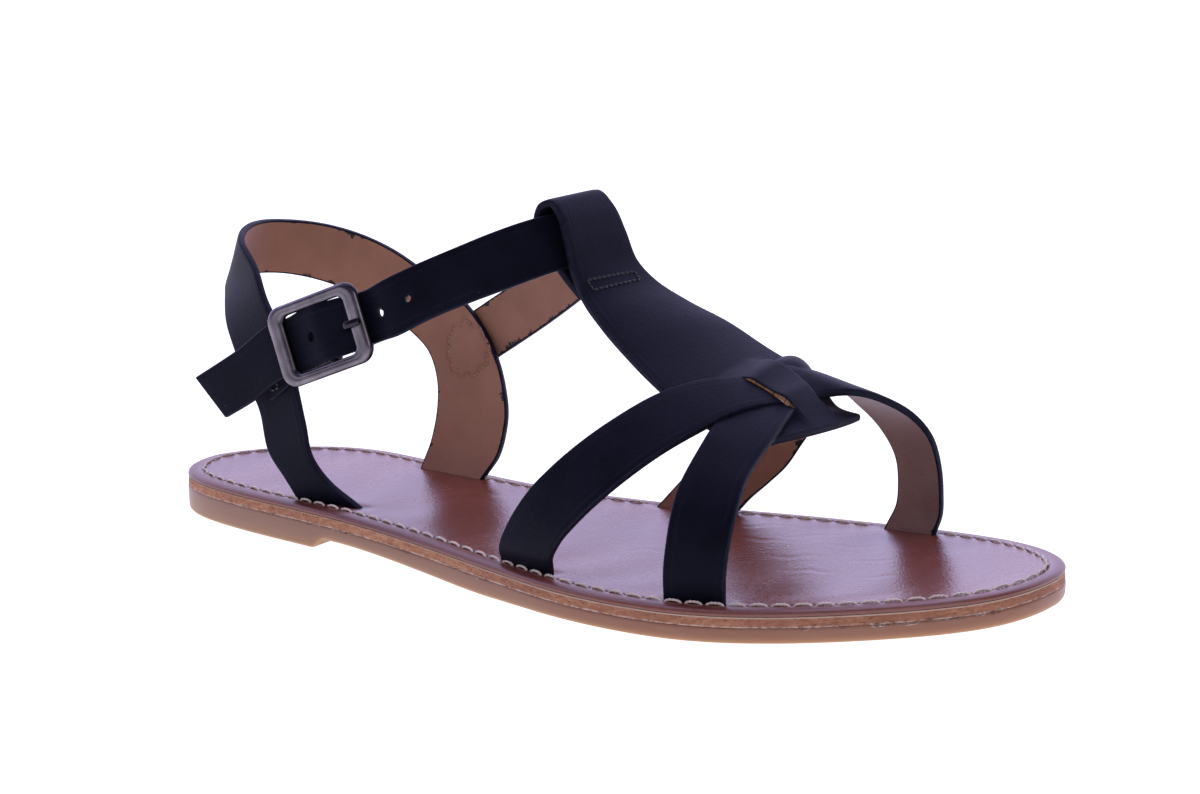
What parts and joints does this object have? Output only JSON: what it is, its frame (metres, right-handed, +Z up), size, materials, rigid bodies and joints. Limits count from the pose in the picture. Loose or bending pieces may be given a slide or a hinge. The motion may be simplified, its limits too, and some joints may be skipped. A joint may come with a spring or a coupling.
{
  "type": "t-strap sandal",
  "caption": "Flat leather sandal for the right foot: crossed instep straps woven through a T-strap, a heel strap and a buckled ankle strap on a layered sole.",
  "frame": {"origin": "centre of the footprint's bounding box, on the ground the sole stands on", "axes": "+X toward the toe, +Y toward the inner side of the foot (away from the buckle), +Z up"},
  "size_m": [0.25, 0.0914, 0.0904],
  "materials": {
    "outsole": "smooth tan sole edge, a little glossy",
    "board": "raw reddish fibre edge",
    "footbed": "waxed red-brown leather with a stitched border",
    "strap": "matt near-black navy leather, tan suede inside",
    "metal": "satin dark pewter plating"
  },
  "bodies": {
    "root": {"outsole": "outsole", "midsole": "board", "insole": "footbed", "front_upper": "strap", "back_strap": "strap", "ankle_strap": "strap", "buckle_tab": "strap", "buckle_frame": "metal", "buckle_prong": "metal"}
  },
  "joints": []
}
